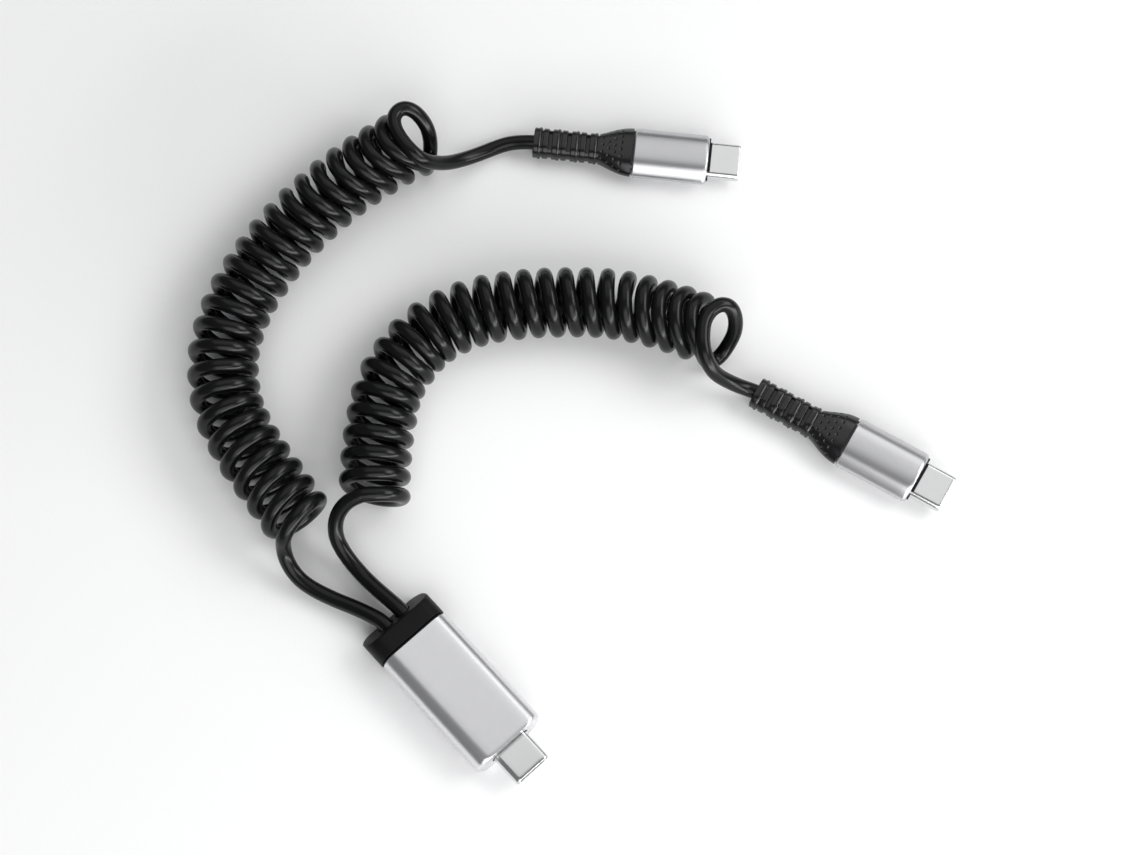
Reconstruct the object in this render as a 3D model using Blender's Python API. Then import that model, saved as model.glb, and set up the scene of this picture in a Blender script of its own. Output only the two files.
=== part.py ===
"""Coiled USB-C splitter cable, lying at rest on a level floor.

One wide metal USB-C plug (the splitter) feeds two cords side by side. Each cord is wound
into a springy coil, bent in an arc, and ends in a smaller USB-C plug of its own.
The origin is under the middle of the splitter plug, and +X is the way that plug points.
"""
import math

import bmesh
import bpy
from mathutils import Matrix, Vector

MM = 0.001

# Gaps between pieces: a seam that shows, and a tight fit inside a plug
SEAM = 0.3 * MM
FIT = 0.1 * MM

# The cord and its coils
CORD_DIAMETER = 3.1 * MM
COIL_DIAMETER = 14.4 * MM
SOCKET_CLEARANCE = 0.25 * MM

# The USB-C front end, the same standard size on all three plugs
SHELL_WIDTH = 8.25 * MM
SHELL_HEIGHT = 2.4 * MM
SHELL_WALL = 0.3 * MM
SHELL_REACH = 6.65 * MM
SHELL_SEAT = 4.0 * MM
MOUTH_WIDTH = 6.85 * MM
MOUTH_HEIGHT = 1.1 * MM
MOUTH_DEPTH = 5.2 * MM
INSULATOR_RECESS = 0.35 * MM
NOSE_RIM_SIDE = 0.65 * MM
NOSE_RIM_TOP = 0.75 * MM

# Metal sleeves: shared wall sizes
SLEEVE_WALL = 0.8 * MM
FRONT_WALL = 1.0 * MM
SLEEVE_CHAMFER = 0.35 * MM
SPIGOT_LENGTH = 2.4 * MM

# The splitter plug
SPLITTER_WIDTH = 16.0 * MM
SPLITTER_HEIGHT = 7.5 * MM
SPLITTER_CORNER = 3.3 * MM
SPLITTER_SLEEVE_LENGTH = 28.2 * MM
CAP_LENGTH = 7.0 * MM
CAP_LEAN = 2.2 * MM
CAP_EDGE = 0.8 * MM
CORD_SPACING = 4.2 * MM
CAP_SOCKET_DEPTH = 1.9 * MM

# The two far plugs
PLUG_WIDTH = 11.4 * MM
PLUG_HEIGHT = 6.0 * MM
PLUG_CORNER = 2.6 * MM
PLUG_SLEEVE_LENGTH = 15.8 * MM
LIP_WIDTH = 6.8 * MM
LIP_LENGTH = 0.6 * MM
LIP_THICKNESS = 0.45 * MM
RING_COUNT = 7
RING_PITCH = 1.98 * MM
RING_LENGTH = 1.15 * MM
RING_WIDTH = 6.4 * MM
RING_HEIGHT = 4.8 * MM
RING_CORNER = 1.5 * MM
GROOVE_DEPTH = 0.4 * MM
BOOT_LENGTH = 7.1 * MM
BOOT_INSET = 0.15 * MM
BOOT_SECTIONS = 8
RELIEF_SOCKET_DEPTH = 1.0 * MM

# Where each far plug lies: its rear end on the floor plan, and the way it points
PLUG_PLACES = {
    "plug_a": (-79.0 * MM, 90.4 * MM, math.radians(41.1)),
    "plug_b": (-6.4 * MM, 85.9 * MM, math.radians(17.3)),
}

# Axis of each coil on the floor plan, in mm, from the splitter's end to the far plug's end
COIL_AXES = {
    "cord_a": ((-46.2, -1.2), (-57.0, 0.0), (-66.0, 1.2), (-75.6, 4.1), (-84.6, 10.7),
               (-90.7, 19.7), (-94.2, 29.3), (-96.2, 38.5), (-97.2, 48.0), (-97.3, 56.5),
               (-95.8, 65.8)),
    "cord_b": ((-40.0, 12.6), (-46.0, 18.2), (-52.0, 24.8), (-57.0, 32.2), (-59.4, 43.2),
               (-57.1, 53.4), (-52.1, 61.8), (-46.0, 69.3), (-39.1, 76.3), (-31.0, 81.9),
               (-23.9, 85.6)),
}

# Where a lead or tail meets its coil's end face: sideways from the axis and up, in mm
FACE_OFFSETS = {
    "cord_a_lead": (4.4, 2.6),
    "cord_b_lead": (0.0, 5.0),
    "cord_a_tail": (4.6, -2.4),
    "cord_b_tail": (4.8, -2.4),
}

# Hand-chosen points of the stretches that aren't coiled, in mm, from the coil to the plug.
# Each tail starts with the open turn that stands at the end of its coil.
ROUTES = {
    "cord_a_lead": ((-44.7, -7.0, 7.2), (-43.2, -7.9, 5.2), (-40.9, -8.4, 3.6),
                    (-38.2, -8.3, 2.6), (-35.0, -7.4, 2.1), (-30.7, -5.7, 2.2),
                    (-26.2, -3.8, 3.0)),
    "cord_b_lead": ((-41.6, 9.2, 12.1), (-42.2, 7.0, 10.8), (-42.0, 4.9, 9.0), (-41.0, 3.2, 7.0),
                    (-39.3, 2.1, 5.2), (-36.9, 1.6, 3.8), (-34.1, 1.4, 2.8), (-30.7, 1.4, 2.4),
                    (-26.7, 1.6, 2.9)),
    "cord_a_tail": ((-91.1, 66.9, 4.0), (-91.0, 68.6, 2.2), (-90.9, 70.6, 1.8),
                    (-91.3, 72.3, 2.7), (-92.1, 73.5, 4.5), (-93.5, 74.4, 6.8),
                    (-95.2, 74.7, 8.9), (-97.1, 74.4, 10.9), (-98.7, 73.4, 12.2),
                    (-99.3, 71.8, 12.7), (-98.9, 70.3, 12.5), (-97.6, 69.5, 11.5),
                    (-95.7, 69.2, 10.1), (-93.5, 69.0, 8.4), (-91.0, 69.2, 6.6),
                    (-88.8, 70.4, 5.2), (-87.2, 72.2, 4.0), (-86.1, 75.0, 2.9),
                    (-85.4, 78.8, 2.1), (-84.4, 83.0, 1.8), (-82.6, 86.8, 2.2)),
    "cord_b_tail": ((-21.0, 81.6, 4.0), (-19.8, 83.1, 2.2), (-18.6, 84.9, 1.8),
                    (-17.9, 86.8, 2.4), (-17.6, 88.8, 3.9), (-17.8, 90.5, 5.9),
                    (-18.7, 91.8, 8.2), (-20.0, 92.4, 10.2), (-21.4, 92.2, 11.8),
                    (-22.5, 91.0, 12.7), (-22.9, 89.2, 12.6), (-22.8, 87.2, 11.7),
                    (-22.1, 85.5, 10.3), (-20.9, 84.1, 8.7), (-19.3, 83.0, 7.0),
                    (-17.4, 82.4, 5.4), (-15.2, 82.3, 4.2), (-12.6, 83.0, 3.3),
                    (-9.6, 84.3, 2.8)),
}
ROUTE_STEP = CORD_DIAMETER
SQUARE_START = 1.0 * MM
COIL_STEP = 5.0 * MM
COIL_INSET = 2.0 * MM

CORNER_STEPS = 6
LOOK = {
    "aluminium": ((0.72, 0.72, 0.74), 0.34, 1.0),
    "steel": ((0.62, 0.62, 0.62), 0.22, 1.0),
    "black plastic": ((0.018, 0.018, 0.020), 0.45, 0.0),
    "black insulator": ((0.012, 0.012, 0.012), 0.35, 0.0),
    "black cord": ((0.014, 0.015, 0.016), 0.38, 0.0),
}


def clear_scene():
    """Take every object out of the scene."""
    for old in list(bpy.data.objects):
        bpy.data.objects.remove(old, do_unlink=True)


def make_collection(name):
    """A new collection linked to the scene."""
    group = bpy.data.collections.new(name)
    bpy.context.scene.collection.children.link(group)
    return group


def make_materials():
    """One Principled material for each look."""
    made = {}
    for name, (colour, roughness, metallic) in LOOK.items():
        material = bpy.data.materials.new(name)
        material.use_nodes = True
        shader = material.node_tree.nodes["Principled BSDF"]
        shader.inputs["Base Color"].default_value = (*colour, 1.0)
        shader.inputs["Roughness"].default_value = roughness
        shader.inputs["Metallic"].default_value = metallic
        made[name] = material
    return made


def rounded_outline(width, height, corner):
    """Points of a rectangle with round corners, as (y, z), turning from +y to +z."""
    corner = min(corner, width / 2, height / 2)
    points = []
    for quarter in range(4):
        start = quarter * math.pi / 2
        side_y = 1 if quarter in (0, 3) else -1
        side_z = 1 if quarter in (0, 1) else -1
        for step in range(CORNER_STEPS + 1):
            angle = start + step / CORNER_STEPS * math.pi / 2
            y = side_y * (width / 2 - corner) + corner * math.cos(angle)
            z = side_z * (height / 2 - corner) + corner * math.sin(angle)
            points.append((y, z))
    return points


def without_doubles(points):
    """The same outline with each point that repeats its neighbour left out."""
    kept = []
    for index, point in enumerate(points):
        before = points[index - 1]
        if math.dist(point, before) > 0.001 * MM:
            kept.append(point)
    return kept


def tidy_mesh(mesh):
    """Weld the caps to the sides and join flat triangles into whole faces."""
    bm = bmesh.new()
    bm.from_mesh(mesh)
    bmesh.ops.remove_doubles(bm, verts=bm.verts, dist=0.001 * MM)
    bmesh.ops.dissolve_limit(bm, angle_limit=math.radians(0.1), verts=bm.verts, edges=bm.edges)
    bmesh.ops.recalc_face_normals(bm, faces=bm.faces)
    bm.to_mesh(mesh)
    bm.free()


def mesh_of(thing):
    """Plain mesh of an object as its modifiers show it, and the object is removed."""
    depsgraph = bpy.context.evaluated_depsgraph_get()
    mesh = bpy.data.meshes.new_from_object(thing.evaluated_get(depsgraph))
    bpy.data.objects.remove(thing, do_unlink=True)
    return mesh


def slab(start, end, width, height, corner):
    """A bar with a rounded outline, lying along x from start to end, centred on the axis."""
    curve = bpy.data.curves.new("outline", "CURVE")
    curve.dimensions = "2D"
    curve.fill_mode = "BOTH"
    curve.extrude = (end - start) / 2
    outline = without_doubles(rounded_outline(width, height, corner))
    spline = curve.splines.new("POLY")
    spline.points.add(len(outline) - 1)
    for point, (y, z) in zip(spline.points, outline):
        point.co = (y, z, 0.0, 1.0)
    spline.use_cyclic_u = True
    drawn = bpy.data.objects.new("outline", curve)
    bpy.context.scene.collection.objects.link(drawn)
    mesh = mesh_of(drawn)
    lie_along_x = Matrix(((0, 0, 1, (start + end) / 2), (1, 0, 0, 0), (0, 1, 0, 0), (0, 0, 0, 1)))
    mesh.transform(lie_along_x)
    tidy_mesh(mesh)
    return mesh


def bevel_end(mesh, x, width, segments=1):
    """Bevel the edge loop of the end face whose middle is at x."""
    bm = bmesh.new()
    bm.from_mesh(mesh)
    end_face = min(bm.faces, key=lambda face: abs(face.calc_center_median().x - x))
    bmesh.ops.bevel(bm, geom=list(end_face.edges), offset=width, segments=segments,
                    affect="EDGES", profile=0.5)
    bm.to_mesh(mesh)
    bm.free()


def round_bar(start, end, diameter, y):
    """A plain cylinder along x, used to bore a cord's socket."""
    bm = bmesh.new()
    bmesh.ops.create_cone(bm, cap_ends=True, segments=24, radius1=diameter / 2,
                          radius2=diameter / 2, depth=end - start)
    mesh = bpy.data.meshes.new("bar")
    bm.to_mesh(mesh)
    bm.free()
    mesh.transform(Matrix.Translation(((start + end) / 2, y, 0)) @ Matrix.Rotation(math.pi / 2, 4, "Y"))
    return mesh


def combine(base, others, operation):
    """Mesh of base with the other meshes cut away (DIFFERENCE) or joined on (UNION)."""
    body = bpy.data.objects.new("body", base)
    bpy.context.scene.collection.objects.link(body)
    tools = []
    for mesh in others:
        tool = bpy.data.objects.new("tool", mesh)
        bpy.context.scene.collection.objects.link(tool)
        boolean = body.modifiers.new("combine", "BOOLEAN")
        boolean.solver = "EXACT"
        boolean.operation = operation
        boolean.object = tool
        tools.append(tool)
    bpy.context.view_layer.update()
    mesh = mesh_of(body)
    for tool in tools:
        bpy.data.objects.remove(tool, do_unlink=True)
    return mesh


def loft(sections):
    """A closed body through (x, width, height, corner) sections, from the rear to the front."""
    bm = bmesh.new()
    rows = []
    for x, width, height, corner in sections:
        outline = rounded_outline(width, height, corner)
        rows.append([bm.verts.new((x, y, z)) for y, z in outline])
    for row, following in zip(rows, rows[1:]):
        for index in range(len(row)):
            beside = (index + 1) % len(row)
            bm.faces.new((row[index], row[beside], following[beside], following[index]))
    bm.faces.new(list(reversed(rows[0])))
    bm.faces.new(rows[-1])
    bmesh.ops.recalc_face_normals(bm, faces=bm.faces)
    mesh = bpy.data.meshes.new("loft")
    bm.to_mesh(mesh)
    bm.free()
    return mesh


def place(group, name, mesh, material, parent):
    """Put a mesh in the model as a named object on its plug's empty."""
    mesh = mesh.copy()
    mesh.name = name
    mesh.materials.clear()
    mesh.materials.append(material)
    mesh.shade_smooth()
    mesh.set_sharp_from_angle(angle=math.radians(35))
    piece = bpy.data.objects.new(name, mesh)
    group.objects.link(piece)
    piece.parent = parent
    return piece


def make_origin(group, name, x, y, z, heading):
    """An empty on a plug's axis at its rear end, turned the way the plug points."""
    origin = bpy.data.objects.new(name, None)
    origin.empty_display_size = 5 * MM
    origin.location = (x, y, z)
    origin.rotation_euler = (0, 0, heading)
    group.objects.link(origin)
    return origin


def nose_size():
    """Outline of the plastic rim round the shell, where it shows in the sleeve's front."""
    width = SHELL_WIDTH + 2 * NOSE_RIM_SIDE
    height = SHELL_HEIGHT + 2 * NOSE_RIM_TOP
    return width, height, height / 2 - FIT


def sleeve_mesh(rear, front, width, height, corner):
    """Metal sleeve: an open rear pocket, and a front wall with a hole for the nose."""
    outer = slab(rear, front, width, height, corner)
    bevel_end(outer, rear, SLEEVE_CHAMFER)
    bevel_end(outer, front, SLEEVE_CHAMFER)
    pocket_width, pocket_height, pocket_corner = pocket_size(width, height, corner)
    pocket = slab(rear - MM, front - FRONT_WALL, pocket_width, pocket_height, pocket_corner)
    hole_width, hole_height, hole_corner = nose_size()
    hole = slab(front - FRONT_WALL - MM, front + MM, hole_width + 2 * FIT, hole_height + 2 * FIT,
                hole_corner + FIT)
    return combine(outer, [pocket, hole], "DIFFERENCE")


def pocket_size(width, height, corner):
    """Outline of the space inside a sleeve."""
    return width - 2 * SLEEVE_WALL, height - 2 * SLEEVE_WALL, corner - SLEEVE_WALL


def spigot_size(width, height, corner):
    """Outline of what fits inside a sleeve."""
    pocket_width, pocket_height, pocket_corner = pocket_size(width, height, corner)
    return pocket_width - 2 * FIT, pocket_height - 2 * FIT, pocket_corner - FIT


def inner_mould_mesh(rear, front, size, lips):
    """Plastic block that fills the sleeve and holds the shell, with a rim round the shell."""
    block = slab(rear, front - FRONT_WALL - FIT, *size)
    nose = slab(front - FRONT_WALL - MM, front, *nose_size())
    joined = combine(block, [nose], "UNION")
    if lips:
        lip_height = SHELL_HEIGHT + 2 * FIT + 2 * LIP_THICKNESS
        lip = slab(front - MM, front + LIP_LENGTH, LIP_WIDTH, lip_height, LIP_THICKNESS / 2)
        joined = combine(joined, [lip], "UNION")
    seat = slab(front - SHELL_SEAT - FIT, front + MM, SHELL_WIDTH + 2 * FIT,
                SHELL_HEIGHT + 2 * FIT, SHELL_HEIGHT / 2 + FIT)
    return combine(joined, [seat], "DIFFERENCE")


def shell_mesh(front):
    """Drawn steel tube of the USB-C plug, seated in the mould and open at both ends."""
    rear = front - SHELL_SEAT
    tip = front + SHELL_REACH
    outer = slab(rear, tip, SHELL_WIDTH, SHELL_HEIGHT, SHELL_HEIGHT / 2)
    inner_height = SHELL_HEIGHT - 2 * SHELL_WALL
    inner = slab(rear - MM, tip + MM, SHELL_WIDTH - 2 * SHELL_WALL, inner_height, inner_height / 2)
    return combine(outer, [inner], "DIFFERENCE")


def insulator_mesh(front):
    """Plastic liner inside the shell, with the flat mouth that takes the socket's tongue."""
    tip = front + SHELL_REACH - INSULATOR_RECESS
    height = SHELL_HEIGHT - 2 * SHELL_WALL - 2 * FIT
    body = slab(front - SHELL_SEAT, tip, SHELL_WIDTH - 2 * SHELL_WALL - 2 * FIT, height, height / 2)
    mouth = slab(tip - MOUTH_DEPTH, tip + MM, MOUTH_WIDTH, MOUTH_HEIGHT, MOUTH_HEIGHT / 4)
    return combine(body, [mouth], "DIFFERENCE")


def end_cap_mesh():
    """Plastic cap behind the splitter's sleeve: leaned-back rear face, spigot and two sockets."""
    body = slab(0, CAP_LENGTH, SPLITTER_WIDTH, SPLITTER_HEIGHT, SPLITTER_CORNER)
    for vertex in body.vertices:
        if vertex.co.x < CAP_LENGTH / 2:
            vertex.co.x = CAP_LEAN * (vertex.co.z / SPLITTER_HEIGHT + 0.5)
    bevel_end(body, CAP_LEAN / 2, CAP_EDGE, segments=3)
    size = spigot_size(SPLITTER_WIDTH, SPLITTER_HEIGHT, SPLITTER_CORNER)
    spigot = slab(CAP_LENGTH - MM, CAP_LENGTH + SEAM + SPIGOT_LENGTH, *size)
    joined = combine(body, [spigot], "UNION")
    bore = CORD_DIAMETER + 2 * SOCKET_CLEARANCE
    sockets = []
    for side in (-1, 1):
        y = side * CORD_SPACING / 2
        sockets.append(round_bar(-MM, CAP_LEAN / 2 + CAP_SOCKET_DEPTH, bore, y))
    return combine(joined, sockets, "DIFFERENCE")


def strain_relief_mesh():
    """One black moulding: ringed strain relief, flared boot, and a spigot for the sleeve."""
    ring = (RING_WIDTH, RING_HEIGHT, RING_CORNER)
    groove = (RING_WIDTH - 2 * GROOVE_DEPTH, RING_HEIGHT - 2 * GROOVE_DEPTH, RING_CORNER)
    sections = []
    for index in range(RING_COUNT):
        x = index * RING_PITCH
        sections.append((x, *ring))
        sections.append((x + RING_LENGTH, *ring))
        sections.append((x + RING_LENGTH, *groove))
        sections.append((x + RING_PITCH, *groove))
    boot_start = RING_COUNT * RING_PITCH
    wide = (PLUG_WIDTH - 2 * BOOT_INSET, PLUG_HEIGHT - 2 * BOOT_INSET, PLUG_CORNER)
    for step in range(BOOT_SECTIONS + 1):
        along = step / BOOT_SECTIONS
        swell = along * along * (3 - 2 * along)
        size = [small + (large - small) * swell for small, large in zip(ring, wide)]
        sections.append((boot_start + BOOT_LENGTH * along, *size))
    boot_end = boot_start + BOOT_LENGTH
    size = spigot_size(PLUG_WIDTH, PLUG_HEIGHT, PLUG_CORNER)
    sections.append((boot_end, *size))
    sections.append((boot_end + SEAM + SPIGOT_LENGTH, *size))
    socket = round_bar(-MM, RELIEF_SOCKET_DEPTH, CORD_DIAMETER + 2 * SOCKET_CLEARANCE, 0)
    return combine(loft(sections), [socket], "DIFFERENCE")


def build_front(group, looks, origin, prefix, sleeve_rear, sleeve_front, outline, lips):
    """Sleeve, inner mould, steel shell and insulator of one plug."""
    mould_rear = sleeve_rear + SPIGOT_LENGTH + SEAM
    meshes = (
        ("sleeve", sleeve_mesh(sleeve_rear, sleeve_front, *outline), "aluminium"),
        ("inner_mould", inner_mould_mesh(mould_rear, sleeve_front, spigot_size(*outline), lips),
         "black plastic"),
        ("usb_shell", shell_mesh(sleeve_front), "steel"),
        ("insulator", insulator_mesh(sleeve_front), "black insulator"),
    )
    for part, mesh, look in meshes:
        place(group, f"{prefix}_{part}", mesh, looks[look], origin)


def build_splitter(group, looks):
    """The wide plug that both cords come out of, centred on the origin; gives its rear's x."""
    cap = end_cap_mesh()
    sleeve_rear = CAP_LENGTH + SEAM
    sleeve_front = sleeve_rear + SPLITTER_SLEEVE_LENGTH
    rear_edge = min(vertex.co.x for vertex in cap.vertices)
    rear_x = -(rear_edge + sleeve_front + SHELL_REACH) / 2
    origin = make_origin(group, "splitter_origin", rear_x, 0, SPLITTER_HEIGHT / 2, 0)
    place(group, "splitter_end_cap", cap, looks["black plastic"], origin)
    outline = (SPLITTER_WIDTH, SPLITTER_HEIGHT, SPLITTER_CORNER)
    build_front(group, looks, origin, "splitter", sleeve_rear, sleeve_front, outline, lips=False)
    return rear_x


def build_far_plug(group, looks, prefix):
    """One of the two smaller plugs, with its strain relief."""
    x, y, heading = PLUG_PLACES[prefix]
    origin = make_origin(group, f"{prefix}_origin", x, y, PLUG_HEIGHT / 2, heading)
    place(group, f"{prefix}_strain_relief", strain_relief_mesh(), looks["black plastic"], origin)
    sleeve_rear = RING_COUNT * RING_PITCH + BOOT_LENGTH + SEAM
    sleeve_front = sleeve_rear + PLUG_SLEEVE_LENGTH
    outline = (PLUG_WIDTH, PLUG_HEIGHT, PLUG_CORNER)
    build_front(group, looks, origin, prefix, sleeve_rear, sleeve_front, outline, lips=True)


def smooth_points(guided, step):
    """Evenly spaced points on a smooth curve from the second given point to the last but one."""
    fine = []
    for a, b, c, d in zip(guided, guided[1:], guided[2:], guided[3:]):
        for index in range(20):
            t = index / 20
            pull = (2 * b + (c - a) * t + (2 * a - 5 * b + 4 * c - d) * t ** 2
                    + (3 * b - a - 3 * c + d) * t ** 3)
            fine.append(pull / 2)
    fine.append(guided[-2])
    lengths = [0.0]
    for before, after in zip(fine, fine[1:]):
        lengths.append(lengths[-1] + (after - before).length)
    count = max(2, round(lengths[-1] / step))
    even = [fine[0]]
    place_in_list = 1
    for index in range(1, count):
        target = lengths[-1] * index / count
        while lengths[place_in_list] < target:
            place_in_list += 1
        before = lengths[place_in_list - 1]
        share = (target - before) / (lengths[place_in_list] - before)
        even.append(fine[place_in_list - 1].lerp(fine[place_in_list], share))
    even.append(fine[-1])
    return even


def build_tube(group, name, points, diameter, resolution, material):
    """A round solid tube along the points, with flat ends."""
    curve = bpy.data.curves.new(name, "CURVE")
    curve.dimensions = "3D"
    curve.twist_mode = "Z_UP"
    curve.bevel_depth = diameter / 2
    curve.bevel_resolution = resolution
    curve.use_fill_caps = True
    spline = curve.splines.new("POLY")
    spline.points.add(len(points) - 1)
    for target, point in zip(spline.points, points):
        target.co = (*point, 1.0)
    spline.use_smooth = True
    curve.materials.append(material)
    tube = bpy.data.objects.new(name, curve)
    group.objects.link(tube)


def coil_axis(cord):
    """Evenly spaced points along a coil's middle, short of the turns that open at its ends."""
    chosen = [Vector((x * MM, y * MM, COIL_DIAMETER / 2)) for x, y in COIL_AXES[cord]]
    before = 2 * chosen[0] - chosen[1]
    after = 2 * chosen[-1] - chosen[-2]
    axis = smooth_points([before, *chosen, after], COIL_STEP)
    axis[0] += (axis[1] - axis[0]).normalized() * COIL_INSET
    axis[-1] += (axis[-2] - axis[-1]).normalized() * COIL_INSET
    return axis


def start_on_face(name, axis, leaving):
    """Two first points of a lead or tail, square to its coil's end face."""
    end, before = (axis[-1], axis[-2]) if leaving else (axis[0], axis[1])
    outward = (end - before).normalized()
    right = outward.cross(Vector((0, 0, 1)))
    sideways, up = FACE_OFFSETS[name]
    seat = end + right * sideways * MM + Vector((0, 0, up * MM))
    return [seat + outward * SEAM, seat + outward * (SEAM + SQUARE_START)]


def socket_points(x, y, z, heading, depth):
    """Last two points of a stretch: outside a socket's mouth, and just above its floor."""
    along = Vector((math.cos(heading), math.sin(heading), 0))
    mouth = Vector((x, y, z))
    return [mouth - along * SQUARE_START, mouth + along * (depth - SEAM)]


def build_stretch(group, name, axis, leaving, ending, material):
    """The tube of one stretch that isn't coiled, from the coil's face into a socket."""
    chosen = [Vector(point) * MM for point in ROUTES[name]]
    route = start_on_face(name, axis, leaving) + chosen + ending
    points = [route[0], *smooth_points(route, ROUTE_STEP), route[-1]]
    build_tube(group, name, points, CORD_DIAMETER, 2, material)


def build_cords(group, looks, splitter_rear_x):
    """Both cords: a lead from the splitter, a coil, and a tail to the far plug."""
    material = looks["black cord"]
    for cord, plug, side in (("cord_a", "plug_a", -1), ("cord_b", "plug_b", 1)):
        axis = coil_axis(cord)
        build_tube(group, f"{cord}_coil", axis, COIL_DIAMETER, 10, material)
        mouth_x = splitter_rear_x + CAP_LEAN / 2
        cap_end = socket_points(mouth_x, side * CORD_SPACING / 2, SPLITTER_HEIGHT / 2, 0,
                                CAP_SOCKET_DEPTH)
        build_stretch(group, f"{cord}_lead", axis, False, cap_end, material)
        x, y, heading = PLUG_PLACES[plug]
        plug_end = socket_points(x, y, PLUG_HEIGHT / 2, heading, RELIEF_SOCKET_DEPTH)
        build_stretch(group, f"{cord}_tail", axis, True, plug_end, material)


clear_scene()
cable = make_collection("coiled_usb_cable")
surface_looks = make_materials()
rear_of_splitter = build_splitter(cable, surface_looks)
build_far_plug(cable, surface_looks, "plug_a")
build_far_plug(cable, surface_looks, "plug_b")
build_cords(cable, surface_looks, rear_of_splitter)
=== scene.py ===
"""Coiled USB-C splitter cable on a pale table: the finished look of every piece."""

import math

import bmesh
import bpy
import numpy as np
from mathutils import Matrix, Vector


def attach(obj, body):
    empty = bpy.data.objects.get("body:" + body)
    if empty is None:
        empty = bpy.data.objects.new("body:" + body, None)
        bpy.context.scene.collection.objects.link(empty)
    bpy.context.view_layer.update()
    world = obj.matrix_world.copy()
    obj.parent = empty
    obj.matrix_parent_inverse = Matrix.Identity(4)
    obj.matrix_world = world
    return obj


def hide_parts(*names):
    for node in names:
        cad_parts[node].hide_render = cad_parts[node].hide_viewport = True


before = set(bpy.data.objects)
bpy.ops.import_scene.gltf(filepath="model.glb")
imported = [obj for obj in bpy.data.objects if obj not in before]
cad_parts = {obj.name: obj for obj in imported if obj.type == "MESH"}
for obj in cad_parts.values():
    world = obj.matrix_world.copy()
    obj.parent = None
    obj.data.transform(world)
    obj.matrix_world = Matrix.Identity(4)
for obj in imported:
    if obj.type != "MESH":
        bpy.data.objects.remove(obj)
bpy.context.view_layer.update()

# The view.
# The cable lies on a table and is seen from high above, from the splitter plug's front right,
# through a long lens, so that both coils show almost in plan.
mm = 0.001
look_at = Vector((-27.11, 53.44, 0.0)) * mm
view_turn = math.radians(47.64)
view_height = math.radians(70.0)
view_distance = 480 * mm
lens = bpy.data.cameras.new("view")
lens.sensor_width = 36.0
lens.lens = 74.27
lens.clip_start = 0.01
viewpoint = bpy.data.objects.new("view", lens)
viewpoint.location = look_at + view_distance * Vector((
    math.sin(view_turn) * math.cos(view_height),
    -math.cos(view_turn) * math.cos(view_height),
    math.sin(view_height)))
viewpoint.rotation_euler = (math.pi / 2 - view_height, 0, view_turn)
bpy.context.scene.collection.objects.link(viewpoint)
bpy.context.scene.camera = viewpoint


# Light and table.
# White cards overhead and at the right, a soft lamp in front with a low strip below it and
# another lamp to the right, in a dim grey room; the cable lies on matt white paper.
class Reading:
    """What one node gives. Sums written on it become Math nodes."""

    def __init__(self, tree, socket):
        self.tree = tree
        self.socket = socket

    def work(self, operation, *terms):
        node = self.tree.nodes.new("ShaderNodeMath")
        node.operation = operation
        for slot, term in zip(node.inputs, terms):
            join(slot, term)
        return Reading(self.tree, node.outputs[0])

    def __add__(self, other):
        return self.work("ADD", self, other)

    def __sub__(self, other):
        return self.work("SUBTRACT", self, other)

    def __rsub__(self, other):
        return self.work("SUBTRACT", other, self)

    def __mul__(self, other):
        return self.work("MULTIPLY", self, other)

    def __truediv__(self, other):
        return self.work("DIVIDE", self, other)

    __radd__ = __add__
    __rmul__ = __mul__


def join(slot, value):
    """Feed a socket with a reading, or set it to a plain value."""
    if isinstance(value, Reading):
        value.tree.links.new(value.socket, slot)
    else:
        slot.default_value = value


class Recipe:
    """A node tree written down line by line."""

    def __init__(self, tree):
        self.tree = tree

    def add(self, kind, settings, sockets, out=0):
        node = self.tree.nodes.new(kind)
        for name, value in settings.items():
            setattr(node, name, value)
        for name, value in sockets.items():
            join(node.inputs[name], value)
        return Reading(self.tree, node.outputs[out])

    def between(self, value, low, high, at_low=0.0, at_high=1.0):
        """Goes smoothly from one value to another as a reading passes from low to high."""
        return self.add("ShaderNodeMapRange", {"interpolation_type": "SMOOTHSTEP"}, {
            "Value": value, "From Min": low, "From Max": high, "To Min": at_low, "To Max": at_high})


class Finish(Recipe):
    """The surface of one material: its constants, and the nodes that vary them."""

    def __init__(self, name, constants):
        self.material = bpy.data.materials.new(name)
        self.material.use_nodes = True
        super().__init__(self.material.node_tree)
        self.shader = self.tree.nodes["Principled BSDF"]
        self.place = self.add("ShaderNodeTexCoord", {}, {}, out=3)
        for name, value in constants.items():
            self.set(name, value)

    def set(self, name, value):
        join(self.shader.inputs[name], value)

    def along(self, heading, stretch):
        """The place on a piece, turned to lie along its plug and stretched along it."""
        turned = self.add("ShaderNodeMapping", {}, {
            "Vector": self.place, "Rotation": (0.0, 0.0, -heading)})
        return self.add("ShaderNodeMapping", {}, {
            "Vector": turned, "Scale": (1.0 / stretch, 1.0, 1.0)})

    def grain(self, size, detail=2.0, place=None):
        """Soft mottling from 0 to 1 whose spots are about this many metres across."""
        return self.add("ShaderNodeTexNoise", {}, {
            "Vector": place or self.place, "Scale": 1.0 / size, "Detail": detail,
            "Roughness": 0.55})

    def tint(self, share, first, second):
        """A colour that goes from the first to the second as the share goes from 0 to 1."""
        return self.add("ShaderNodeMix", {"data_type": "RGBA"}, {
            0: share, 6: (*first, 1.0), 7: (*second, 1.0)}, out=2)

    def raise_by(self, height, depth):
        """Let a reading raise the surface, by this many metres where it is 1."""
        self.set("Normal", self.add("ShaderNodeBump", {}, {
            "Strength": 1.0, "Distance": depth, "Height": height}))


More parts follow.
